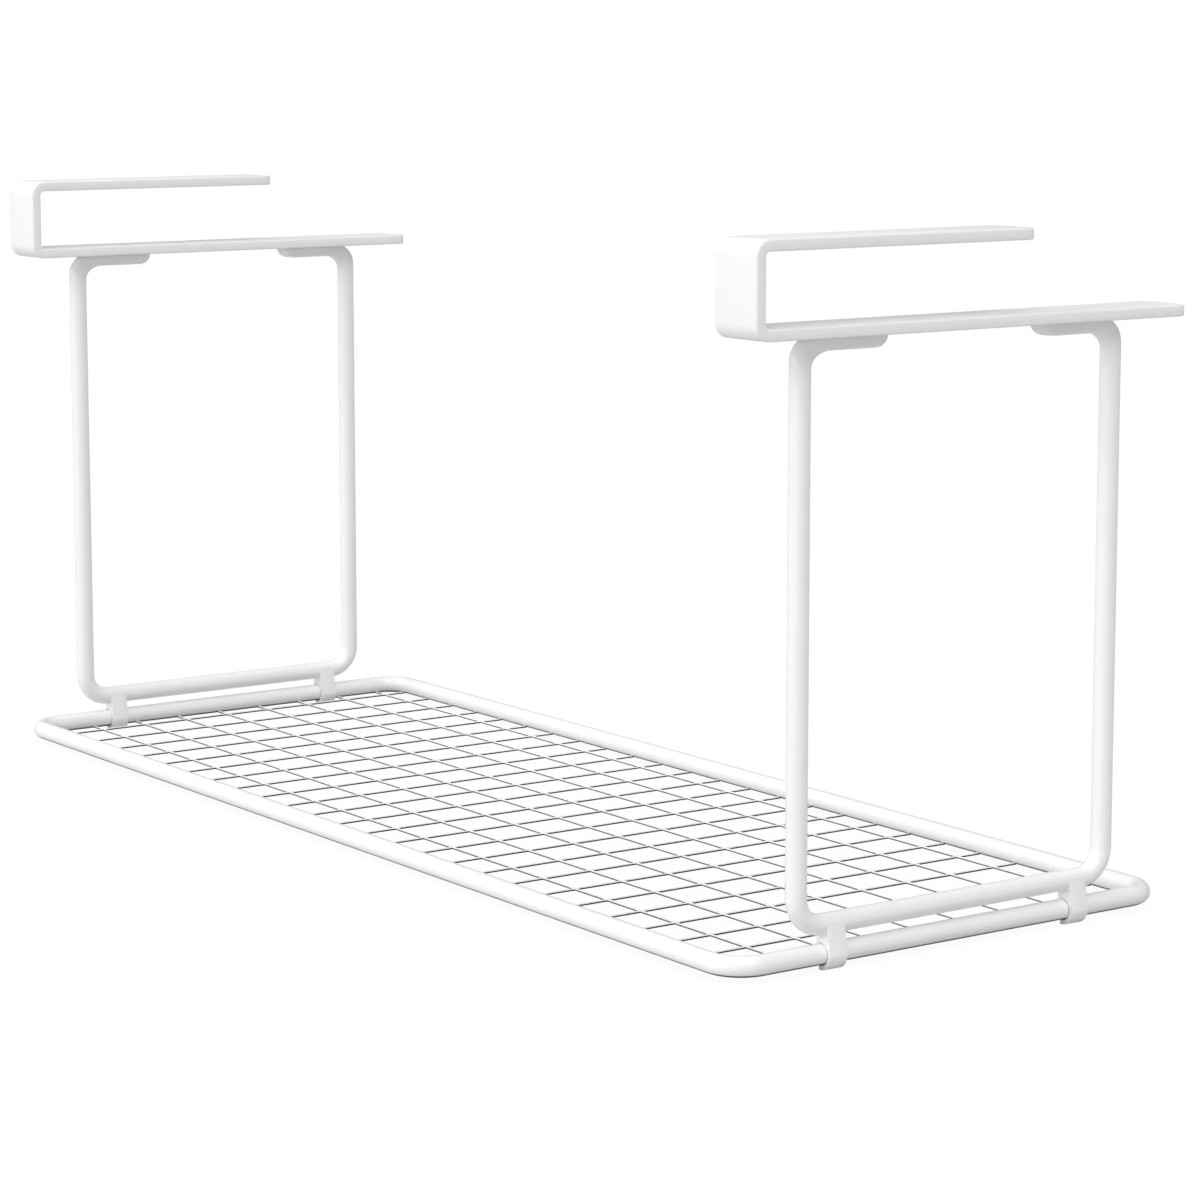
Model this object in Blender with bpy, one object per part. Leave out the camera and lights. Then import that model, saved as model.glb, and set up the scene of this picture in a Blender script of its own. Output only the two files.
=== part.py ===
"""Under-shelf basket: a wire-mesh tray hung from two rod frames with flat C hooks.

X runs along the tray, Y from the closed front of the hooks to their open end, Z up.
The origin is on the floor under the middle of the tray, as the basket stands.
"""

import math

import bmesh
import bpy
from mathutils import Vector

# Stock and gaps
ROD_DIAMETER = 0.008
WIRE_DIAMETER = 0.0013
SEAT_GAP = 0.0003

# Tray, measured between the centre lines of its rim
TRAY_LENGTH = 0.557
TRAY_DEPTH = 0.206
RIM_CORNER_RADIUS = 0.0125
LONG_WIRE_DROP = 0.0021
CROSS_WIRE_COUNT = 25
LONG_WIRE_COUNT = 9
LONG_WIRE_SHIFT = -0.0028

# Hook strip, outside sizes
STRIP_WIDTH = 0.0245
STRIP_THICKNESS = 0.0043
HOOK_HEIGHT = 0.0358
TOP_ARM_LENGTH = 0.1304
BOTTOM_ARM_LENGTH = 0.207
STRIP_BEND_RADIUS = 0.006
STRIP_CORNER_RADIUS = 0.005
STRIP_EDGE_ROUNDING = 0.0005

# U-frame, measured to the centre line of the round rod
POST_SPACING = 0.1492
FRAME_DROP = 0.2148
LOWER_BEND_RADIUS = 0.011

# Pressed weld tabs at the ends of the U-frame's rod
TAB_HEIGHT = 0.005
TAB_WIDTH = 0.0094
TAB_SPACING = 0.075
TAB_BEND_INNER_RADIUS = 0.007
TAB_BEND_OUTER_RADIUS = 0.0093
TAB_END_RADIUS = 0.0052
TAB_LIP_SHARE = 0.14
TAB_END_NARROWING_SHARE = 0.2
ROUND_POWER = 2.0
TAB_POWER = 5.0
FLATTENING_POWER = 4

# Clips between the U-frame's bottom run and the tray's end rod
ROD_SPACING = 0.0112
CLIP_THICKNESS = 0.0017
CLIP_WIDTH = 0.008
CLIP_INSET = 0.0156
CLIP_LIP_DEGREES = 100.0
CLIP_SADDLE_DEGREES = 125.0
CLIP_WELD_DEGREES = 30.0
CLIP_EDGE_ROUNDING = 0.0003

# Facets
ROD_SIDES = 20
WIRE_SIDES = 8
BEND_STEPS = 9
ARC_STEP_DEGREES = 10.0
STRIP_BEND_STEPS = 6
STRIP_CORNER_STEPS = 5
EDGE_STEPS = 2
SHARP_DEGREES = 50.0

# Sizes that follow from the ones above
ROD_RADIUS = ROD_DIAMETER / 2
WIRE_RADIUS = WIRE_DIAMETER / 2
SEAT_RADIUS = ROD_RADIUS + SEAT_GAP
CLIP_OUTER_RADIUS = SEAT_RADIUS + CLIP_THICKNESS
RIM_HEIGHT = CLIP_OUTER_RADIUS
CROSS_WIRE_DROP = LONG_WIRE_DROP + WIRE_DIAMETER + SEAT_GAP
BOTTOM_RUN = ROD_SPACING
ARM_UNDERSIDE = BOTTOM_RUN + FRAME_DROP
CLIP_OFFSET = POST_SPACING / 2 - CLIP_INSET
QUARTER = math.pi / 2
END_X = TRAY_LENGTH / 2
SIDE_Y = TRAY_DEPTH / 2


def clear_scene():
    """Removes whatever the start-up file holds."""
    for item in list(bpy.data.objects):
        bpy.data.objects.remove(item, do_unlink=True)
    for mesh in list(bpy.data.meshes):
        bpy.data.meshes.remove(mesh)


def paint(name, colour, roughness):
    """A white powder coat; each kind of piece has its own."""
    material = bpy.data.materials.new(name)
    material.use_nodes = True
    shader = material.node_tree.nodes["Principled BSDF"]
    shader.inputs["Base Color"].default_value = (*colour, 1.0)
    shader.inputs["Roughness"].default_value = roughness
    shader.inputs["Metallic"].default_value = 0.0
    material.diffuse_color = (*colour, 1.0)
    return material


def mesh_from(bm, name, material):
    """Turns the edited geometry into a mesh with smooth round sides and crisp edges."""
    bmesh.ops.recalc_face_normals(bm, faces=bm.faces)
    mesh = bpy.data.meshes.new(name)
    bm.to_mesh(mesh)
    bm.free()
    mesh.shade_smooth()
    mesh.set_sharp_from_angle(angle=math.radians(SHARP_DEGREES))
    mesh.materials.append(material)
    return mesh


def place(name, mesh, location, parent=None):
    """Puts one piece into the scene as an object of its own."""
    piece = bpy.data.objects.new(name, mesh)
    bpy.context.scene.collection.objects.link(piece)
    piece.parent = parent
    piece.location = location
    return piece


def pivot(name, location):
    """An empty on a bracket's joint axis, which carries the bracket's pieces."""
    empty = bpy.data.objects.new(name, None)
    bpy.context.scene.collection.objects.link(empty)
    empty.location = location
    return empty


def arc(centre, radius, start, stop, steps):
    """Points on a circle in a plane, from one angle to another."""
    angles = [start + (stop - start) * step / steps for step in range(steps + 1)]
    return [(centre[0] + radius * math.cos(a), centre[1] + radius * math.sin(a)) for a in angles]


def degree_arc(centre, radius, start, stop):
    """The same for angles in degrees, with facets of one agreed size."""
    steps = max(1, round(abs(stop - start) / ARC_STEP_DEGREES))
    return arc(centre, radius, math.radians(start), math.radians(stop), steps)


def skin(bm, rings, closed):
    """Bridges each cross-section to the next and caps the ends of an open rod."""
    pairs = list(zip(rings, rings[1:]))
    if closed:
        pairs.append((rings[-1], rings[0]))
    for first, second in pairs:
        bmesh.ops.bridge_loops(bm, edges=first + second)
    if not closed:
        bmesh.ops.contextual_create(bm, geom=rings[0])
        bmesh.ops.contextual_create(bm, geom=rings[-1])


def prism(bm, outline, axis, depth):
    """A closed outline pushed out to a plate, centred on its middle plane."""
    verts = [bm.verts.new((-depth / 2, u, v) if axis == "X" else (u, -depth / 2, v)) for u, v in outline]
    face = bm.faces.new(verts)
    pushed = bmesh.ops.extrude_face_region(bm, geom=[face])
    moved = [item for item in pushed["geom"] if isinstance(item, bmesh.types.BMVert)]
    shift = Vector((depth, 0, 0)) if axis == "X" else Vector((0, depth, 0))
    bmesh.ops.translate(bm, verts=moved, vec=shift)
    bmesh.ops.recalc_face_normals(bm, faces=bm.faces)


def round_edges(bm, edges, radius, steps):
    """Rounds the given edges."""
    bmesh.ops.bevel(bm, geom=edges, offset=radius, segments=steps, profile=0.5, affect="EDGES", material=-1)


def sharp_edges(bm):
    """Edges that turn by more than the smooth facets do."""
    limit = math.radians(SHARP_DEGREES)
    return [e for e in bm.edges if len(e.link_faces) == 2 and e.calc_face_angle() > limit]


# Hook strip: one flat bar bent twice, with round corners at both free ends
def hook_strip_mesh(material):
    front = -BOTTOM_ARM_LENGTH / 2
    low = ARM_UNDERSIDE
    high = low + HOOK_HEIGHT
    bend_y = front + STRIP_BEND_RADIUS
    low_z = low + STRIP_BEND_RADIUS
    high_z = high - STRIP_BEND_RADIUS
    inner = STRIP_BEND_RADIUS - STRIP_THICKNESS
    top_end = front + TOP_ARM_LENGTH
    bottom_end = front + BOTTOM_ARM_LENGTH
    outline = [(top_end, high)]
    outline += arc((bend_y, high_z), STRIP_BEND_RADIUS, QUARTER, 2 * QUARTER, STRIP_BEND_STEPS)
    outline += arc((bend_y, low_z), STRIP_BEND_RADIUS, 2 * QUARTER, 3 * QUARTER, STRIP_BEND_STEPS)
    outline += [(bottom_end, low), (bottom_end, low + STRIP_THICKNESS)]
    outline += arc((bend_y, low_z), inner, 3 * QUARTER, 2 * QUARTER, STRIP_BEND_STEPS)
    outline += arc((bend_y, high_z), inner, 2 * QUARTER, QUARTER, STRIP_BEND_STEPS)
    outline += [(top_end, high - STRIP_THICKNESS)]
    bm = bmesh.new()
    prism(bm, outline, "X", STRIP_WIDTH)
    upright = [e for e in bm.edges if is_end_corner(e, (top_end, bottom_end))]
    round_edges(bm, upright, STRIP_CORNER_RADIUS, STRIP_CORNER_STEPS)
    round_edges(bm, sharp_edges(bm), STRIP_EDGE_ROUNDING, EDGE_STEPS)
    return mesh_from(bm, "hook_strip", material)


def is_end_corner(edge, ends):
    """True for the short upright edges at the strip's free ends."""
    first, second = (vert.co for vert in edge.verts)
    upright = abs(first.z - second.z) > STRIP_THICKNESS / 2
    return upright and abs(first.y - second.y) < SEAT_GAP and min(abs(first.y - y) for y in ends) < SEAT_GAP


# U-frame: the round rod's path is worked out for one half, from weld tab to bottom run
def tab_bend_reach(turn):
    """Distance from the upper bend's inner centre to the rod's outer side, at a turn."""
    wide = TAB_BEND_INNER_RADIUS + ROD_DIAMETER
    high = TAB_BEND_INNER_RADIUS + TAB_HEIGHT
    cosine = math.cos(turn)
    sine = math.sin(turn)
    centre = (wide - TAB_BEND_OUTER_RADIUS, high - TAB_BEND_OUTER_RADIUS)
    to_wall = wide / cosine if cosine * high > sine * wide else high / sine
    if to_wall * cosine <= centre[0] or to_wall * sine <= centre[1]:
        return to_wall
    along = cosine * centre[0] + sine * centre[1]
    off_square = centre[0] ** 2 + centre[1] ** 2 - along ** 2
    return along + math.sqrt(TAB_BEND_OUTER_RADIUS ** 2 - off_square)


def tab_sections():
    """Sections of one weld tab, from its free end to the start of its bend."""
    top = ARM_UNDERSIDE - SEAT_GAP
    end_y = TAB_SPACING / 2
    sections = []
    for step in range(BEND_STEPS + 1):
        turn = QUARTER * step / BEND_STEPS
        share = TAB_LIP_SHARE + (1 - TAB_LIP_SHARE) * math.sin(turn)
        height = TAB_HEIGHT * share
        width = TAB_WIDTH * (1 - TAB_END_NARROWING_SHARE * (1 - math.sin(turn)))
        y = end_y + TAB_END_RADIUS * (1 - math.cos(turn))
        sections.append((y, top - height / 2, 0.0, 1.0, height / 2, width / 2, TAB_POWER))
    return sections


def upper_bend_sections():
    """Sections of the bend that is pressed from the tab's shape back to a round rod."""
    centre_y = POST_SPACING / 2 - ROD_RADIUS - TAB_BEND_INNER_RADIUS
    centre_z = ARM_UNDERSIDE - SEAT_GAP - TAB_HEIGHT - TAB_BEND_INNER_RADIUS
    sections = []
    for step in range(BEND_STEPS + 1):
        turn = QUARTER * (1 - step / BEND_STEPS)
        reach = tab_bend_reach(turn)
        middle = (reach + TAB_BEND_INNER_RADIUS) / 2
        flat = math.sin(turn) ** FLATTENING_POWER
        half_out = ROD_RADIUS + (TAB_WIDTH / 2 - ROD_RADIUS) * flat
        power = ROUND_POWER + (TAB_POWER - ROUND_POWER) * flat
        y = centre_y + middle * math.cos(turn)
        z = centre_z + middle * math.sin(turn)
        half_in = (reach - TAB_BEND_INNER_RADIUS) / 2
        sections.append((y, z, math.cos(turn), math.sin(turn), half_in, half_out, power))
    return sections


def lower_bend_sections():
    """Sections of the plain round bend at the foot of a post."""
    centre_y = POST_SPACING / 2 - LOWER_BEND_RADIUS
    centre_z = BOTTOM_RUN + LOWER_BEND_RADIUS
    sections = []
    for step in range(BEND_STEPS + 1):
        turn = QUARTER * step / BEND_STEPS
        y = centre_y + LOWER_BEND_RADIUS * math.cos(turn)
        z = centre_z - LOWER_BEND_RADIUS * math.sin(turn)
        sections.append((y, z, math.cos(turn), -math.sin(turn), ROD_RADIUS, ROD_RADIUS, ROUND_POWER))
    return sections


def u_frame_mesh(material):
    half = tab_sections() + upper_bend_sections() + lower_bend_sections()
    bm = bmesh.new()
    rings = []
    for side, sections in ((1, half), (-1, reversed(half))):
        for y, z, out_y, out_z, half_in, half_out, power in sections:
            rings.append(upright_ring(bm, (side * y, z), (side * out_y, out_z), half_in, half_out, power))
    skin(bm, rings, closed=False)
    return mesh_from(bm, "u_frame", material)


def upright_ring(bm, spot, out, half_in, half_out, power):
    """A section of the frame's rod; the frame lies in the plane across X."""
    verts = []
    for side in range(ROD_SIDES):
        turn = 2 * math.pi * side / ROD_SIDES
        along = half_in * bulge(math.cos(turn), power)
        across = half_out * bulge(math.sin(turn), power)
        verts.append(bm.verts.new((across, spot[0] + out[0] * along, spot[1] + out[1] * along)))
    return [bm.edges.new((verts[i - 1], verts[i])) for i in range(ROD_SIDES)]


def bulge(value, power):
    """Makes a circle's coordinate squarer as the power rises above 2."""
    return math.copysign(abs(value) ** (2 / power), value)


# Clip: a narrow plate that saddles the bottom run above and hooks round the end rod below
def clip_mesh(material):
    rod = (0.0, 0.0)
    run = (0.0, BOTTOM_RUN)
    weld_turn = math.radians(CLIP_WELD_DEGREES)
    weld_tip = (SEAT_RADIUS * math.cos(weld_turn), BOTTOM_RUN + SEAT_RADIUS * math.sin(weld_turn))
    outline = degree_arc(rod, CLIP_OUTER_RADIUS, 0.0, -CLIP_LIP_DEGREES)
    outline += degree_arc(rod, SEAT_RADIUS, -CLIP_LIP_DEGREES, CLIP_SADDLE_DEGREES)
    outline += degree_arc(run, SEAT_RADIUS, -CLIP_SADDLE_DEGREES, CLIP_WELD_DEGREES)
    outline += weld_bead(weld_tip, (CLIP_OUTER_RADIUS, BOTTOM_RUN - CLIP_THICKNESS))
    bm = bmesh.new()
    prism(bm, outline, "Y", CLIP_WIDTH)
    side_edges = [e for e in sharp_edges(bm) if abs(e.verts[0].co.y - e.verts[1].co.y) < SEAT_GAP]
    round_edges(bm, side_edges, CLIP_EDGE_ROUNDING, EDGE_STEPS)
    return mesh_from(bm, "clip", material)


def weld_bead(tip, foot):
    """Rounded top of the weld, from the rod's side down to the clip's outer face."""
    points = []
    for step in range(1, BEND_STEPS + 1):
        turn = QUARTER * step / BEND_STEPS
        x = tip[0] + (foot[0] - tip[0]) * math.sin(turn)
        z = foot[1] + (tip[1] - foot[1]) * math.cos(turn)
        points.append((x, z))
    return points


# Rim: one round rod bent to a closed rectangle with round corners
def rim_mesh(material):
    bm = bmesh.new()
    rings = []
    for quarter in range(4):
        start = QUARTER * quarter
        sign_x = 1 if quarter in (0, 3) else -1
        sign_y = 1 if quarter in (0, 1) else -1
        centre_x = sign_x * (END_X - RIM_CORNER_RADIUS)
        centre_y = sign_y * (SIDE_Y - RIM_CORNER_RADIUS)
        for step in range(BEND_STEPS + 1):
            turn = start + QUARTER * step / BEND_STEPS
            rings.append(level_ring(bm, (centre_x, centre_y), turn))
    skin(bm, rings, closed=True)
    return mesh_from(bm, "tray_rim", material)


def level_ring(bm, centre, turn):
    """A round section of the rim, which lies in the level plane."""
    verts = []
    for side in range(ROD_SIDES):
        around = 2 * math.pi * side / ROD_SIDES
        reach = RIM_CORNER_RADIUS + ROD_RADIUS * math.cos(around)
        x = centre[0] + reach * math.cos(turn)
        y = centre[1] + reach * math.sin(turn)
        verts.append(bm.verts.new((x, y, ROD_RADIUS * math.sin(around))))
    return [bm.edges.new((verts[i - 1], verts[i])) for i in range(ROD_SIDES)]


# Mesh wires: straight, stopped just short of the rim rod that they are welded to
def wire_stop(from_rod, drop):
    """How far from the rim's centre line a wire ends, also where it meets a round corner."""
    rise = drop - WIRE_RADIUS
    stop = math.sqrt(SEAT_RADIUS ** 2 - rise ** 2)
    across = RIM_CORNER_RADIUS - from_rod + WIRE_RADIUS
    if across <= 0:
        return stop
    return RIM_CORNER_RADIUS - math.sqrt((RIM_CORNER_RADIUS - stop) ** 2 - across ** 2)


def wire_mesh(name, length, axis, material):
    bm = bmesh.new()
    bmesh.ops.create_cone(bm, cap_ends=True, segments=WIRE_SIDES, radius1=WIRE_RADIUS,
                          radius2=WIRE_RADIUS, depth=length)
    turned = Vector((1, 0, 0)) if axis == "X" else Vector((0, 1, 0))
    bmesh.ops.rotate(bm, verts=bm.verts, matrix=Vector((0, 0, 1)).rotation_difference(turned).to_matrix())
    return mesh_from(bm, name, material)


def add_wires(prefix, count, span, shift, half_length, axis, drop, material):
    """A row of equal wires at one pitch, with half a pitch left at each side before the row is shifted."""
    pitch = span / count
    for index in range(count):
        across = pitch * index + (pitch - span) / 2 + shift
        from_rod = span / 2 - abs(across)
        length = 2 * (half_length - wire_stop(from_rod, drop))
        name = f"{prefix}_{index + 1:02d}"
        height = RIM_HEIGHT - drop
        spot = (0, across, height) if axis == "X" else (across, 0, height)
        place(name, wire_mesh(name, length, axis, material), spot)


clear_scene()
strip_paint = paint("hook_strip_coat", (0.86, 0.86, 0.85), 0.42)
frame_paint = paint("u_frame_coat", (0.87, 0.87, 0.86), 0.38)
clip_paint = paint("clip_coat", (0.86, 0.86, 0.86), 0.42)
rim_paint = paint("tray_rim_coat", (0.87, 0.87, 0.86), 0.38)
wire_paint = paint("mesh_wire_coat", (0.88, 0.88, 0.87), 0.4)

# Tray
place("tray_rim", rim_mesh(rim_paint), (0, 0, RIM_HEIGHT))
add_wires("cross_wire", CROSS_WIRE_COUNT, TRAY_LENGTH, 0, SIDE_Y, "Y", CROSS_WIRE_DROP, wire_paint)
add_wires("long_wire", LONG_WIRE_COUNT, TRAY_DEPTH, LONG_WIRE_SHIFT, END_X, "X", LONG_WIRE_DROP, wire_paint)

# Two brackets alike, each carried by an empty on its hinge axis in the tray's end rod
strip = hook_strip_mesh(strip_paint)
frame = u_frame_mesh(frame_paint)
clip = clip_mesh(clip_paint)
for end, end_x in (("near", END_X), ("far", -END_X)):
    hinge = pivot(f"{end}_hinge", (end_x, 0, RIM_HEIGHT))
    place(f"{end}_hook_strip", strip, (0, 0, 0), hinge)
    place(f"{end}_u_frame", frame, (0, 0, 0), hinge)
    place(f"{end}_left_clip", clip, (0, -CLIP_OFFSET, 0), hinge)
    place(f"{end}_right_clip", clip, (0, CLIP_OFFSET, 0), hinge)
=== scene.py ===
import math

import bmesh
import bpy
from mathutils import Matrix, Vector


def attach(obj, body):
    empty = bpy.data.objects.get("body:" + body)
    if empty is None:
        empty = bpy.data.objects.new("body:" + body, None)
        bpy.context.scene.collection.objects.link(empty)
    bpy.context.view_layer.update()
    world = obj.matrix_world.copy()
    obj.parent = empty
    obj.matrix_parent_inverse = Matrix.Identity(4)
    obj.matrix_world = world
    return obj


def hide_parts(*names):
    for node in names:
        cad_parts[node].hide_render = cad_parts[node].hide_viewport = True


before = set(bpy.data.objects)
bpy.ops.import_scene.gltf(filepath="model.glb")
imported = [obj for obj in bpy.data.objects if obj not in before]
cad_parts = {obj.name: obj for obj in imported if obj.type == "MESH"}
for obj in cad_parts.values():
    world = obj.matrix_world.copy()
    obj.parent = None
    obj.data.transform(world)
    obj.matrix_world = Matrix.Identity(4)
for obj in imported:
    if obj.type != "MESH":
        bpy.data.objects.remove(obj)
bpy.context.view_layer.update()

# Tray rim
# One round steel rod, bent to a rectangle with four round corners and butt-welded into a loop.
# The wire mesh is welded into it, and the whole tray is powder-coated white. The brackets' clips hook
# round its two short sides.
ROD_RADIUS = 0.004
ROD_SIDES = 40
BEND_STEPS = 14
RIM_HEIGHT = 0.006
END_X = 0.2785
SIDE_Y = 0.103
RIM_CORNER_RADIUS = 0.0125
RIM_SHADE_DROP_SHARE = 0.72
RIM_SHADE_DEPTH_SHARE = 0.14
RIM_SHADE_TONE = 0.15
RIM_WHITE = (0.87, 0.87, 0.862)
ROD_PEEL_SCALE = 620.0
ROD_PEEL_HEIGHT = 0.00004
MERGE_DISTANCE = 0.00001
QUARTER_DEGREES = 90.0
CREASE_DEGREES = 40.0
NOISE_MIDDLE = 0.5
DRIFT_SCALE = 38.0
GRAIN_SCALE = 260.0
GRAIN_LOW = 0.3
GRAIN_HIGH = 0.7
SPECK_SCALE = 420.0
SPECK_RARITY = 0.93
SPECK_INNER = 0.05
SPECK_OUTER = 0.16
SHADE_STARTS = -0.55
SHADE_IS_FULL = -0.05
UP = Vector((0, 0, 1))
ALONG = Vector((1, 0, 0))
BACK = Vector((0, 1, 0))


def edges_among(verts):
    """The edges that join these vertices to each other."""
    chosen = set(verts)
    return [edge for edge in {e for v in verts for e in v.link_edges} if set(edge.verts) <= chosen]


def verts_of(made):
    """The vertices in what an operator has made."""
    return [item for item in made if isinstance(item, bmesh.types.BMVert)]


def cut_end(bm, spot, facing):
    """Starts a rod with the circle of its cut end, facing the way the rod runs on."""
    turn = UP.rotation_difference(facing).to_matrix().to_4x4()
    made = bmesh.ops.create_circle(bm, segments=ROD_SIDES, radius=ROD_RADIUS,
                                   matrix=Matrix.Translation(spot) @ turn)
    return edges_among(made["verts"])


def run_on(bm, end, move):
    """Draws the bar on in a straight line and returns its new end."""
    verts = verts_of(bmesh.ops.extrude_edge_only(bm, edges=end)["geom"])
    bmesh.ops.translate(bm, verts=verts, vec=move)
    return edges_among(verts)


def bend_on(bm, end, centre, axis, steps):
    """Bends the bar on by a quarter turn round a centre and returns its new end."""
    verts = list({v for e in end for v in e.verts})
    bent = bmesh.ops.spin(bm, geom=verts + end, cent=centre, axis=axis,
                          angle=math.radians(QUARTER_DEGREES), steps=steps)
    return edges_among(verts_of(bent["geom_last"]))


def finish_piece(bm, name, material, body, nodes, crease=CREASE_DEGREES):
    """Makes the piece, shades its round sides smooth and hangs it on its body."""
    bmesh.ops.recalc_face_normals(bm, faces=bm.faces)
    mesh = bpy.data.meshes.new(name)
    bm.to_mesh(mesh)
    bm.free()
    mesh.shade_smooth()
    mesh.set_sharp_from_angle(angle=math.radians(crease))
    mesh.materials.append(material)
    piece = bpy.data.objects.new(name, mesh)
    bpy.context.scene.collection.objects.link(piece)
    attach(piece, body)
    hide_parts(*nodes)


def feed(tree, socket, given):
    """Gives a socket its value, or a link where another node's output is given."""
    if isinstance(given, bpy.types.NodeSocket):
        tree.links.new(given, socket)
    else:
        socket.default_value = given


def add_node(tree, kind, inputs, **settings):
    """Adds one node with its settings and inputs, and returns its outputs."""
    node = tree.nodes.new(kind)
    for setting, choice in settings.items():
        setattr(node, setting, choice)
    for socket, given in inputs.items():
        feed(tree, node.inputs[socket], given)
    return node.outputs


def reckon(tree, operation, first, second):
    """One sum on two values."""
    return add_node(tree, "ShaderNodeMath", {0: first, 1: second}, operation=operation)["Value"]


def ramp(tree, value, starts, ends, low, high, curve="LINEAR"):
    """Goes from low to high while the value goes from where the ramp starts to where it ends."""
    inputs = {"Value": value, "From Min": starts, "From Max": ends, "To Min": low, "To Max": high}
    return add_node(tree, "ShaderNodeMapRange", inputs, interpolation_type=curve)["Result"]


def make_coat_group():
    """Powder coat: orange peel, uneven gloss, a faint drift of tone, fine specks, and painted shade on the
    underside.
    """
    group = bpy.data.node_groups.new("powder_coat", "ShaderNodeTree")
    face = group.interface
    face.new_socket("Position", in_out="INPUT", socket_type="NodeSocketVector")
    face.new_socket("Coat Colour", in_out="INPUT", socket_type="NodeSocketColor")
    for label in ("Peel Scale", "Tone Drift", "Gloss Low", "Gloss High", "Speck Amount",
                  "Shade Height", "Shade Depth", "Shade Tone"):
        face.new_socket(label, in_out="INPUT", socket_type="NodeSocketFloat")
    face.new_socket("Colour", in_out="OUTPUT", socket_type="NodeSocketColor")
    face.new_socket("Roughness", in_out="OUTPUT", socket_type="NodeSocketFloat")
    face.new_socket("Height", in_out="OUTPUT", socket_type="NodeSocketFloat")
    given = group.nodes.new("NodeGroupInput").outputs
    result = group.nodes.new("NodeGroupOutput").inputs
    spot = given["Position"]
    peel = add_node(group, "ShaderNodeTexNoise",
                    {"Vector": spot, "Scale": given["Peel Scale"], "Detail": 2.0, "Roughness": 0.45})
    drift = add_node(group, "ShaderNodeTexNoise", {"Vector": spot, "Scale": DRIFT_SCALE, "Detail": 3.0})
    grain = add_node(group, "ShaderNodeTexNoise", {"Vector": spot, "Scale": GRAIN_SCALE, "Detail": 4.0})
    specks = add_node(group, "ShaderNodeTexVoronoi", {"Vector": spot, "Scale": SPECK_SCALE})

    gloss = ramp(group, grain["Fac"], GRAIN_LOW, GRAIN_HIGH, given["Gloss Low"], given["Gloss High"])
    feed(group, result["Roughness"], gloss)

    # A speck is the middle of a cell whose own random number is high.
    close = ramp(group, specks["Distance"], SPECK_INNER, SPECK_OUTER, 1.0, 0.0)
    chance = add_node(group, "ShaderNodeSeparateColor", {"Color": specks["Color"]})["Red"]
    speck = reckon(group, "MULTIPLY", close, reckon(group, "GREATER_THAN", chance, SPECK_RARITY))
    mark = reckon(group, "MULTIPLY", speck, given["Speck Amount"])

    # The tone drifts by a few per cent, and a speck takes its own share off.
    swing = reckon(group, "SUBTRACT", drift["Fac"], NOISE_MIDDLE)
    swing = reckon(group, "MULTIPLY", swing, given["Tone Drift"])
    share = reckon(group, "ADD", reckon(group, "SUBTRACT", swing, mark), 1.0)

    # The lower side of thin stock is darkened, for the deep shade that it shows in the photograph.
    height = add_node(group, "ShaderNodeSeparateXYZ", {"Vector": spot})["Z"]
    below = reckon(group, "SUBTRACT", given["Shade Height"], height)
    depth = reckon(group, "DIVIDE", below, given["Shade Depth"])
    shade = ramp(group, depth, SHADE_STARTS, SHADE_IS_FULL, 1.0, given["Shade Tone"], "SMOOTHSTEP")
    tone = reckon(group, "MULTIPLY", share, shade)
    toned = add_node(group, "ShaderNodeVectorMath", {0: given["Coat Colour"], "Scale": tone},
                     operation="SCALE")
    feed(group, result["Colour"], toned["Vector"])

    # Orange peel swells softly, and each speck is a pinhole in it.
    feed(group, result["Height"], reckon(group, "SUBTRACT", peel["Fac"], mark))
    return group


coat_group = make_coat_group()


def coat(name, colour, peel_scale, peel_height, tone_drift, gloss, specks,
         shade_height=0.0, shade_depth=ROD_RADIUS, shade_tone=1.0, ior=1.48, mirror=0.5):
    """One piece's powder coat, with its own values in the shared group. Tone 1 is no shade."""
    material = bpy.data.materials.new(name)
    material.use_nodes = True
    tree = material.node_tree
    shader = tree.nodes["Principled BSDF"].inputs
    shader["IOR"].default_value = ior
    shader["Specular IOR Level"].default_value = mirror
    position = add_node(tree, "ShaderNodeTexCoord", {})["Object"]
    inputs = {"Position": position, "Coat Colour": (*colour, 1.0), "Peel Scale": peel_scale,
              "Tone Drift": tone_drift, "Gloss Low": gloss[0], "Gloss High": gloss[1],
              "Speck Amount": specks, "Shade Height": shade_height, "Shade Depth": shade_depth,
              "Shade Tone": shade_tone}
    surface = add_node(tree, "ShaderNodeGroup", inputs, node_tree=coat_group)
    bump = add_node(tree, "ShaderNodeBump", {"Height": surface["Height"], "Distance": peel_height})
    feed(tree, shader["Base Color"], surface["Colour"])
    feed(tree, shader["Roughness"], surface["Roughness"])
    feed(tree, shader["Normal"], bump["Normal"])
    return material


# Painted shade: the rim's colour darkens along the lowest side of the rod.
rim_coat = coat("rim_powder_coat", RIM_WHITE, ROD_PEEL_SCALE, ROD_PEEL_HEIGHT, tone_drift=0.05,
                gloss=(0.12, 0.2), specks=0.12, shade_height=RIM_HEIGHT - RIM_SHADE_DROP_SHARE * ROD_RADIUS,
                shade_depth=RIM_SHADE_DEPTH_SHARE * ROD_RADIUS, shade_tone=RIM_SHADE_TONE)
bm = bmesh.new()
side_run = 2 * (SIDE_Y - RIM_CORNER_RADIUS)
end_run = 2 * (END_X - RIM_CORNER_RADIUS)
end = cut_end(bm, Vector((END_X, -side_run / 2, RIM_HEIGHT)), BACK)
for corner_x, corner_y, straight in ((1, 1, BACK * side_run), (-1, 1, -ALONG * end_run),
                                     (-1, -1, -BACK * side_run), (1, -1, ALONG * end_run)):
    end = run_on(bm, end, straight)
    centre = Vector((corner_x * end_run / 2, corner_y * side_run / 2, RIM_HEIGHT))
    end = bend_on(bm, end, centre, UP, BEND_STEPS)
bmesh.ops.remove_doubles(bm, verts=bm.verts, dist=MERGE_DISTANCE)
finish_piece(bm, "rim_rod", rim_coat, "tray", ["tray_rim"])

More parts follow.
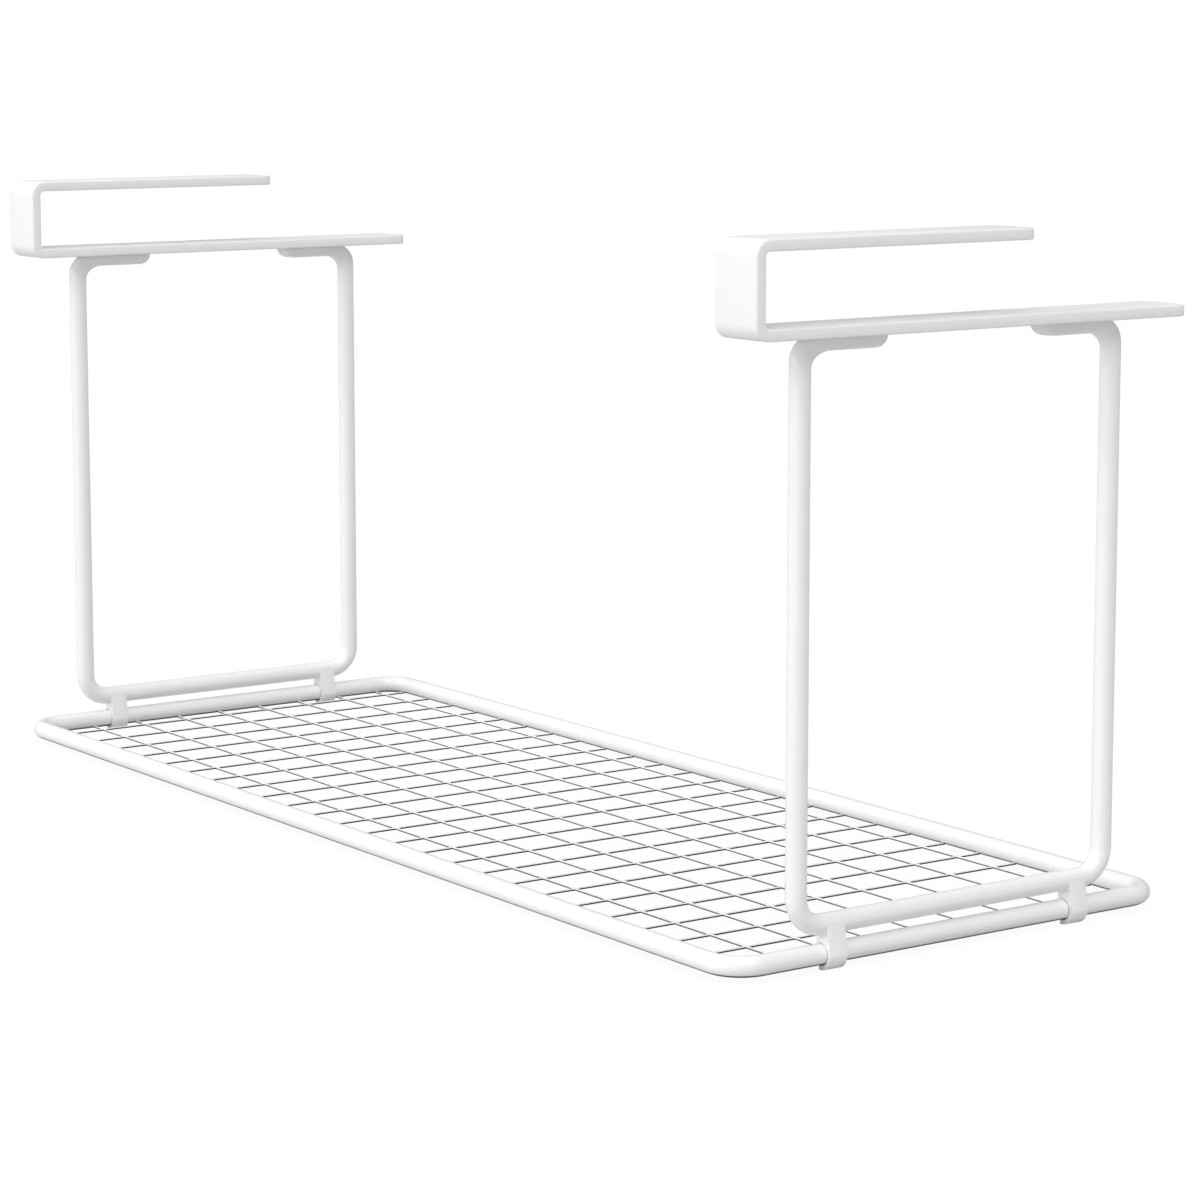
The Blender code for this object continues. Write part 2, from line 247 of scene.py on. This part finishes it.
# Wire mesh
# Thin straight steel wires, spot-welded where they cross and butted against the rim's inner side.
# The welding presses the wires into each other until both layers lie almost level.
WIRE_RADIUS = 0.00055
WIRE_SIDES = 12
CROSS_WIRE_DROP = 0.00325
LONG_WIRE_DROP = 0.0032
LONG_WIRE_SHIFT = -0.0028
CROSS_WIRES = 25
LONG_WIRES = 9
WELD_SINK = 0.0004
NUGGET_SIDES = 8
NUGGET_RINGS = 5
END_NUGGET = (0.0007, 0.0007, 0.0006)
CROSSING_NUGGET = (0.0006, 0.0006, 0.00025)
WIRE_WHITE = (0.86, 0.86, 0.852)
CROSS_WIRE_SHADE_TONE = 0.02
LONG_WIRE_SHADE_TONE = 0.14
cross_pitch = 2 * END_X / CROSS_WIRES
long_pitch = 2 * SIDE_Y / LONG_WIRES
cross_places = [(index + 0.5) * cross_pitch - END_X for index in range(CROSS_WIRES)]
long_places = [(index + 0.5) * long_pitch - SIDE_Y + LONG_WIRE_SHIFT for index in range(LONG_WIRES)]
cross_height = RIM_HEIGHT - CROSS_WIRE_DROP
long_height = RIM_HEIGHT - LONG_WIRE_DROP


def wire_coat(name, height, shade_tone):
    """The coat of one layer's wires: finer and duller, with painted shade below the wires' middle."""
    return coat(name, WIRE_WHITE, peel_scale=900.0, peel_height=0.00002, tone_drift=0.06, gloss=(0.3, 0.42),
                specks=0.1, shade_height=height, shade_depth=WIRE_RADIUS, shade_tone=shade_tone, ior=1.25)


def wire_reach(half_span, from_side, drop):
    """How far a wire runs from the middle until it is sunk a little into the rim."""
    stop = math.sqrt(ROD_RADIUS ** 2 - (drop - WIRE_RADIUS) ** 2) - WELD_SINK
    across = RIM_CORNER_RADIUS - from_side
    if across <= 0:
        return half_span - stop
    return half_span - RIM_CORNER_RADIUS + math.sqrt((RIM_CORNER_RADIUS - stop) ** 2 - across ** 2)


def weld_nugget(bm, spot, size):
    """A small swelling of weld metal under the coat."""
    bmesh.ops.create_uvsphere(bm, u_segments=NUGGET_SIDES, v_segments=NUGGET_RINGS, radius=1.0,
                              matrix=Matrix.Translation(spot) @ Matrix.Diagonal((*size, 1.0)))


def welded_wire(bm, middle, direction, reach):
    """One straight wire, with the weld at each of its ends."""
    turn = UP.rotation_difference(direction).to_matrix().to_4x4()
    bmesh.ops.create_cone(bm, cap_ends=True, segments=WIRE_SIDES, radius1=WIRE_RADIUS, radius2=WIRE_RADIUS,
                          depth=2 * reach, matrix=Matrix.Translation(middle) @ turn)
    for side in (-1, 1):
        weld_nugget(bm, middle + direction * side * reach, END_NUGGET)


cross_coat = wire_coat("cross_wire_coat", cross_height, CROSS_WIRE_SHADE_TONE)
for index, x in enumerate(cross_places):
    bm = bmesh.new()
    welded_wire(bm, Vector((x, 0, cross_height)), BACK, wire_reach(SIDE_Y, END_X - abs(x), CROSS_WIRE_DROP))
    name = f"cross_wire_{index + 1:02d}"
    finish_piece(bm, name + "_drawn", cross_coat, "tray", [name])

long_coat = wire_coat("long_wire_coat", long_height, LONG_WIRE_SHADE_TONE)
for index, y in enumerate(long_places):
    bm = bmesh.new()
    welded_wire(bm, Vector((0, y, long_height)), ALONG, wire_reach(END_X, SIDE_Y - abs(y), LONG_WIRE_DROP))
    for x in cross_places:
        weld_nugget(bm, Vector((x, y, cross_height - CROSSING_NUGGET[2])), CROSSING_NUGGET)
    name = f"long_wire_{index + 1:02d}"
    finish_piece(bm, name + "_drawn", long_coat, "tray", [name])

# Hook strips
# One flat steel bar for each end, bent twice into a C that slides over the edge of a shelf board.
# Its two free ends are cut round at the corners, and all its edges are broken before coating.
STRIP_WIDTH = 0.0245
STRIP_THICKNESS = 0.0043
HOOK_HEIGHT = 0.0358
TOP_ARM_LENGTH = 0.1304
BOTTOM_ARM_LENGTH = 0.207
STRIP_BEND_RADIUS = 0.006
STRIP_CORNER_RADIUS = 0.005
STRIP_CORNER_STEPS = 8
STRIP_EDGE_ROUNDING = 0.0006
STRIP_BEND_STEPS = 10
STRIP_WHITE = (0.86, 0.86, 0.853)
SQUARE_EDGE_DEGREES = 50.0
SAME_LENGTH_SHARE = 0.01
PARALLEL_COSINE = 0.99
EDGE_STEPS = 3
FRAME_DROP = 0.2148
ROD_SPACING = 0.0112
arm_underside = RIM_HEIGHT + ROD_SPACING + FRAME_DROP
strip_coat = coat("strip_powder_coat", STRIP_WHITE, peel_scale=520.0, peel_height=0.00004,
                  tone_drift=0.04, gloss=(0.36, 0.48), specks=0.12, mirror=0.08)


def square_edges(bm):
    """The edges where two faces meet at a sharp angle."""
    least = math.radians(SQUARE_EDGE_DEGREES)
    return [edge for edge in bm.edges if len(edge.link_faces) == 2 and edge.calc_face_angle() > least]


def is_corner(edge):
    """Whether an edge runs straight up through the strip's thickness."""
    span = edge.verts[0].co - edge.verts[1].co
    if abs(span.length / STRIP_THICKNESS - 1) > SAME_LENGTH_SHARE:
        return False
    return abs(span.normalized().dot(UP)) > PARALLEL_COSINE


def round_off(bm, edges, radius, steps, clamped=False):
    """Rounds edges off. Clamped, the radius shrinks where the metal has no room for it."""
    bmesh.ops.bevel(bm, geom=edges, offset=radius, segments=steps, profile=0.5, affect="EDGES", material=-1,
                    clamp_overlap=clamped)


def hook_strip(bm, x):
    """Bends the flat bar from the free end of its bottom arm round to the free end of its top arm."""
    front = -BOTTOM_ARM_LENGTH / 2
    low = arm_underside
    high = low + HOOK_HEIGHT
    spot = Vector((x, front + BOTTOM_ARM_LENGTH, low + STRIP_THICKNESS / 2))
    upright = Matrix.Rotation(math.radians(QUARTER_DEGREES), 4, "X")
    size = Matrix.Diagonal((STRIP_WIDTH, STRIP_THICKNESS, 1.0, 1.0))
    sheared = bmesh.ops.create_grid(bm, x_segments=1, y_segments=1, size=0.5,
                                    matrix=Matrix.Translation(spot) @ upright @ size)
    first = edges_among(sheared["verts"])
    bmesh.ops.delete(bm, geom=list(bm.faces), context="FACES_ONLY")
    end = run_on(bm, first, -BACK * (BOTTOM_ARM_LENGTH - STRIP_BEND_RADIUS))
    lower_centre = Vector((x, front + STRIP_BEND_RADIUS, low + STRIP_BEND_RADIUS))
    end = bend_on(bm, end, lower_centre, -ALONG, STRIP_BEND_STEPS)
    end = run_on(bm, end, UP * (HOOK_HEIGHT - 2 * STRIP_BEND_RADIUS))
    upper_centre = Vector((x, front + STRIP_BEND_RADIUS, high - STRIP_BEND_RADIUS))
    end = bend_on(bm, end, upper_centre, -ALONG, STRIP_BEND_STEPS)
    end = run_on(bm, end, BACK * (TOP_ARM_LENGTH - STRIP_BEND_RADIUS))
    bmesh.ops.contextual_create(bm, geom=first)
    bmesh.ops.contextual_create(bm, geom=end)
    bmesh.ops.recalc_face_normals(bm, faces=bm.faces)
    corners = [edge for edge in square_edges(bm) if is_corner(edge)]
    round_off(bm, corners, STRIP_CORNER_RADIUS, STRIP_CORNER_STEPS)
    round_off(bm, square_edges(bm), STRIP_EDGE_ROUNDING, EDGE_STEPS)


for bracket, x in (("near", END_X), ("far", -END_X)):
    bm = bmesh.new()
    hook_strip(bm, x)
    finish_piece(bm, f"{bracket}_bent_strip", strip_coat, f"{bracket}_bracket",
                 [f"{bracket}_hook_strip"])

# U-frames
# A round rod like the rim's, bent to a U with small square-shouldered bends at its top. Both ends are
# pressed from round to flat-sided tabs, turned in under the strip and welded flat against it.
POST_SPACING = 0.1492
LOWER_BEND_RADIUS = 0.011
TAB_HEIGHT = 0.0053
TAB_WIDTH = 0.0094
TAB_SPACING = 0.075
TAB_BEND_INNER_RADIUS = 0.007
TAB_BEND_OUTER_RADIUS = 0.0093
TAB_END_RADIUS = 0.0052
TAB_LIP_SHARE = 0.14
TAB_END_NARROWING_SHARE = 0.2
ROUND_POWER = 2.0
TAB_POWER = 5.0
PRESS_ONSET_POWER = 4
PRESS_STEPS = 16
MIDDLE_MERGE_DISTANCE = 0.000002
frame_coat = coat("frame_powder_coat", RIM_WHITE, ROD_PEEL_SCALE, ROD_PEEL_HEIGHT, tone_drift=0.05,
                  gloss=(0.14, 0.24), specks=0.12)


def press_reach(turn):
    """Distance from the upper bend's inner centre to the rod's outer side, at a turn."""
    wide = TAB_BEND_INNER_RADIUS + 2 * ROD_RADIUS
    high = TAB_BEND_INNER_RADIUS + TAB_HEIGHT
    cosine = math.cos(turn)
    sine = math.sin(turn)
    middle = (wide - TAB_BEND_OUTER_RADIUS, high - TAB_BEND_OUTER_RADIUS)
    to_wall = wide / cosine if cosine * high > sine * wide else high / sine
    if to_wall * cosine <= middle[0] or to_wall * sine <= middle[1]:
        return to_wall
    along = cosine * middle[0] + sine * middle[1]
    off_square = middle[0] ** 2 + middle[1] ** 2 - along ** 2
    return along + math.sqrt(TAB_BEND_OUTER_RADIUS ** 2 - off_square)


def pressed_ring(bm, middle, outwards, half_in, half_out, power):
    """A section of the rod: a circle, pressed towards a flat-sided one as the power rises."""
    made = bmesh.ops.create_circle(bm, segments=ROD_SIDES, radius=1.0)
    for vert in made["verts"]:
        across = math.copysign(abs(vert.co.y) ** (2 / power), vert.co.y) * half_out
        rise = math.copysign(abs(vert.co.x) ** (2 / power), vert.co.x) * half_in
        vert.co = middle + ALONG * across + outwards * rise
    return edges_among(made["verts"])


def u_frame_half(bm, x):
    """Half a frame: the bottom run, its bend, a post, the pressed bend and the tab."""
    run_z = RIM_HEIGHT + ROD_SPACING
    post_y = POST_SPACING / 2
    quarter = math.radians(QUARTER_DEGREES)
    end = cut_end(bm, Vector((x, 0, run_z)), BACK)
    end = run_on(bm, end, BACK * (post_y - LOWER_BEND_RADIUS))
    lower_centre = Vector((x, post_y - LOWER_BEND_RADIUS, run_z + LOWER_BEND_RADIUS))
    end = bend_on(bm, end, lower_centre, ALONG, BEND_STEPS)
    upper_centre = Vector((x, post_y - ROD_RADIUS - TAB_BEND_INNER_RADIUS,
                           arm_underside - TAB_HEIGHT - TAB_BEND_INNER_RADIUS))
    rings = [end]
    for step in range(PRESS_STEPS + 1):
        turn = quarter * step / PRESS_STEPS
        reach = press_reach(turn)
        flat = math.sin(turn) ** PRESS_ONSET_POWER
        outwards = Vector((0, math.cos(turn), math.sin(turn)))
        rings.append(pressed_ring(bm, upper_centre + outwards * (reach + TAB_BEND_INNER_RADIUS) / 2, outwards,
                                  half_in=(reach - TAB_BEND_INNER_RADIUS) / 2,
                                  half_out=ROD_RADIUS + (TAB_WIDTH / 2 - ROD_RADIUS) * flat,
                                  power=ROUND_POWER + (TAB_POWER - ROUND_POWER) * flat))
    for step in range(PRESS_STEPS + 1):
        turn = quarter * (1 - step / PRESS_STEPS)
        height = TAB_HEIGHT * (TAB_LIP_SHARE + (1 - TAB_LIP_SHARE) * math.sin(turn))
        narrowing = TAB_END_NARROWING_SHARE * (1 - math.sin(turn))
        y = TAB_SPACING / 2 + TAB_END_RADIUS * (1 - math.cos(turn))
        rings.append(pressed_ring(bm, Vector((x, y, arm_underside - height / 2)), UP, half_in=height / 2,
                                  half_out=TAB_WIDTH / 2 * (1 - narrowing), power=TAB_POWER))
    for lower, upper in zip(rings, rings[1:]):
        bmesh.ops.bridge_loops(bm, edges=lower + upper)
    bmesh.ops.contextual_create(bm, geom=rings[-1])


for bracket, x in (("near", END_X), ("far", -END_X)):
    bm = bmesh.new()
    u_frame_half(bm, x)
    bmesh.ops.mirror(bm, geom=bm.verts[:] + bm.edges[:] + bm.faces[:], matrix=Matrix.Identity(4),
                     merge_dist=MERGE_DISTANCE, axis="Y")
    bmesh.ops.remove_doubles(bm, verts=bm.verts, dist=MIDDLE_MERGE_DISTANCE)
    finish_piece(bm, f"{bracket}_bent_frame", frame_coat, f"{bracket}_bracket",
                 [f"{bracket}_u_frame"])

# Clips
# Narrow steel plates, two to a frame. Each is welded under and beside the frame's bottom run, fills the
# space down to the tray's end rod, and hooks round that rod from outside, so that the bracket can turn.
CLIP_GAP = 0.0003
CLIP_THICKNESS = 0.0017
CLIP_WIDTH = 0.008
CLIP_OFFSET = 0.059
CLIP_LIP_DEGREES = 100.0
CLIP_SADDLE_DEGREES = 125.0
CLIP_WELD_DEGREES = 6.0
CLIP_WELD_SINK = 0.00003
CLIP_EDGE_ROUNDING = 0.0004
CLIP_FACE_ROUNDING = 0.0011
CLIP_FACE_STEPS = 5
CLIP_ARC_STEPS = 18
CLIP_CREASE_DEGREES = 45.0
CLIP_WHITE = (0.87, 0.87, 0.865)
clip_coat = coat("clip_powder_coat", CLIP_WHITE, peel_scale=760.0, peel_height=0.00003,
                 tone_drift=0.04, gloss=(0.34, 0.46), specks=0.1)


def arc_row(bm, start, centre, degrees, steps):
    """A row of vertices round one of the two rods, in order."""
    vert = bm.verts.new(start)
    bmesh.ops.spin(bm, geom=[vert], cent=centre, axis=BACK, angle=math.radians(degrees), steps=steps)
    row = [vert]
    while len(row) <= steps:
        joined = [edge.other_vert(row[-1]) for edge in row[-1].link_edges]
        row.append(next(other for other in joined if other not in row))
    return row


def side_edges(bm):
    """The square edges round the plate's two sides."""
    return [edge for edge in square_edges(bm) if abs(edge.verts[0].co.y - edge.verts[1].co.y) < CLIP_GAP]


def clip_plate(bm, x, y):
    """Draws the clip's outline with spins round the two rods, and pushes it out to a plate."""
    rod = Vector((x, y, RIM_HEIGHT))
    run = Vector((x, y, RIM_HEIGHT + ROD_SPACING))
    seat = ROD_RADIUS + CLIP_GAP
    foot = Vector((x + seat + CLIP_THICKNESS, y, RIM_HEIGHT))
    outline = arc_row(bm, foot, rod, CLIP_LIP_DEGREES, CLIP_ARC_STEPS)
    lip = rod + (outline[-1].co - rod).normalized() * seat
    outline += arc_row(bm, lip, rod, -CLIP_LIP_DEGREES - CLIP_SADDLE_DEGREES, 2 * CLIP_ARC_STEPS)
    saddle_turn = Matrix.Rotation(math.radians(CLIP_SADDLE_DEGREES), 3, "Y")
    saddle = run + saddle_turn @ ALONG * (ROD_RADIUS - CLIP_GAP)
    outline += arc_row(bm, saddle, run, -CLIP_SADDLE_DEGREES - CLIP_WELD_DEGREES, 2 * CLIP_ARC_STEPS)
    tip = outline[-1].co.copy()
    tip.x = run.x + math.sqrt(ROD_RADIUS ** 2 - (tip.z - run.z) ** 2) - CLIP_WELD_SINK
    outline.append(bm.verts.new(tip))
    bmesh.ops.translate(bm, verts=outline, vec=-BACK * CLIP_WIDTH / 2)
    bmesh.ops.delete(bm, geom=list(bm.edges), context="EDGES_FACES")
    flat = bm.faces.new(outline)
    pushed = verts_of(bmesh.ops.extrude_face_region(bm, geom=[flat])["geom"])
    bmesh.ops.translate(bm, verts=pushed, vec=BACK * CLIP_WIDTH)
    bmesh.ops.recalc_face_normals(bm, faces=bm.faces)
    outer_face = [edge for edge in side_edges(bm) if min(v.co.x - x for v in edge.verts) > seat + CLIP_GAP]
    round_off(bm, outer_face, CLIP_FACE_ROUNDING, CLIP_FACE_STEPS, clamped=True)
    round_off(bm, side_edges(bm), CLIP_EDGE_ROUNDING, EDGE_STEPS, clamped=True)


for bracket, x in (("near", END_X), ("far", -END_X)):
    for side, y in (("left", -CLIP_OFFSET), ("right", CLIP_OFFSET)):
        bm = bmesh.new()
        clip_plate(bm, x, y)
        finish_piece(bm, f"{bracket}_{side}_clip_plate", clip_coat, f"{bracket}_bracket",
                     [f"{bracket}_{side}_clip"], crease=CLIP_CREASE_DEGREES)

# Floor and light
# A pale floor and a pale room that is dimmer towards the back. Three distant lamps: a broad key light on
# the hooks' closed front, a narrow faint one low in front, and a broad one from above the near end.
FLOOR_HALF = 6.0
FLOOR_TONE = 0.58
SHADOW_SHARE = 0.06
ROOM_FADE_STARTS = -0.1
ROOM_FADE_ENDS = 0.7
FRONT_STRENGTH = 0.58
BACK_STRENGTH = 0.35
FULL_WHITE = (1.0, 1.0, 1.0, 1.0)


def pale_to_the_eye(tree, dark, pale):
    """Joins two shaders: the pale one is what the camera sees, the other lights the object."""
    seen = add_node(tree, "ShaderNodeLightPath", {})["Is Camera Ray"]
    return add_node(tree, "ShaderNodeMixShader", {"Fac": seen, 1: dark, 2: pale})["Shader"]


def soft_light(name, towards, strength, spread):
    """A distant lamp as wide as a soft box, shining from one direction."""
    lamp = bpy.data.lights.new(name, "SUN")
    lamp.energy = strength
    lamp.angle = math.radians(spread)
    holder = bpy.data.objects.new(name, lamp)
    bpy.context.scene.collection.objects.link(holder)
    holder.location = Vector(towards)
    holder.rotation_mode = "QUATERNION"
    holder.rotation_quaternion = Vector(towards).to_track_quat("Z", "Y")


bm = bmesh.new()
bmesh.ops.create_grid(bm, x_segments=1, y_segments=1, size=FLOOR_HALF)
floor_mesh = bpy.data.meshes.new("floor")
bm.to_mesh(floor_mesh)
bm.free()
floor = bpy.data.objects.new("floor", floor_mesh)
bpy.context.scene.collection.objects.link(floor)
floor_paint = bpy.data.materials.new("pale_floor")
floor_paint.use_nodes = True
paint = floor_paint.node_tree
paint.nodes.remove(paint.nodes["Principled BSDF"])
matt = add_node(paint, "ShaderNodeBsdfDiffuse", {"Color": (FLOOR_TONE, FLOOR_TONE, FLOOR_TONE, 1.0)})["BSDF"]
shaded = add_node(paint, "ShaderNodeBsdfDiffuse", {"Color": FULL_WHITE})["BSDF"]
white = add_node(paint, "ShaderNodeEmission", {"Color": FULL_WHITE, "Strength": 1.0})["Emission"]
pale = add_node(paint, "ShaderNodeMixShader", {"Fac": SHADOW_SHARE, 1: white, 2: shaded})["Shader"]
feed(paint, paint.nodes["Material Output"].inputs["Surface"], pale_to_the_eye(paint, matt, pale))
floor_mesh.materials.append(floor_paint)

world = bpy.data.worlds.new("pale_room")
world.use_nodes = True
bpy.context.scene.world = world
room = world.node_tree
direction = add_node(room, "ShaderNodeTexCoord", {})["Generated"]
backwards = add_node(room, "ShaderNodeSeparateXYZ", {"Vector": direction})["Y"]
fade = ramp(room, backwards, ROOM_FADE_STARTS, ROOM_FADE_ENDS, FRONT_STRENGTH, BACK_STRENGTH, "SMOOTHSTEP")
dim = add_node(room, "ShaderNodeBackground", {"Color": FULL_WHITE, "Strength": fade})["Background"]
bright = add_node(room, "ShaderNodeBackground", {"Color": FULL_WHITE, "Strength": 1.0})["Background"]
feed(room, room.nodes["World Output"].inputs["Surface"], pale_to_the_eye(room, dim, bright))

soft_light("key_light", towards=(-0.4, -1.0, 0.5), strength=1.2, spread=50.0)
soft_light("front_light", towards=(0.1, -1.0, 0.06), strength=0.3, spread=6.0)
soft_light("fill_light", towards=(0.55, -0.2, 1.0), strength=1.5, spread=50.0)

# Camera
# Its place, direction, focal length and shift come from a fit to points in the photograph.
# The shift is only as large as the photograph's framing needs.
CAMERA_PLACE = Vector((1.2874, -0.8714, 0.3422))
CAMERA_AZIMUTH_DEGREES = 54.77
CAMERA_ELEVATION_DEGREES = 8.12
SENSOR_WIDTH = 36.0
FOCAL_LENGTH = 109.05
SHIFT_ACROSS = -0.0046
SHIFT_UP = -0.0492
NEAREST_SEEN = 0.01
camera_data = bpy.data.cameras.new("camera")
camera_data.sensor_width = SENSOR_WIDTH
camera_data.lens = FOCAL_LENGTH
camera_data.shift_x = SHIFT_ACROSS
camera_data.shift_y = SHIFT_UP
camera_data.clip_start = NEAREST_SEEN
camera = bpy.data.objects.new("camera", camera_data)
bpy.context.scene.collection.objects.link(camera)
azimuth = math.radians(CAMERA_AZIMUTH_DEGREES)
elevation = math.radians(CAMERA_ELEVATION_DEGREES)
right = Vector((math.cos(azimuth), math.sin(azimuth), 0))
above = Vector((-math.sin(elevation) * math.sin(azimuth), math.sin(elevation) * math.cos(azimuth),
                math.cos(elevation)))
facing = Matrix((right, above, right.cross(above))).transposed().to_4x4()
camera.matrix_world = Matrix.Translation(CAMERA_PLACE) @ facing
bpy.context.scene.camera = camera
bpy.context.scene.view_settings.view_transform = "Standard"
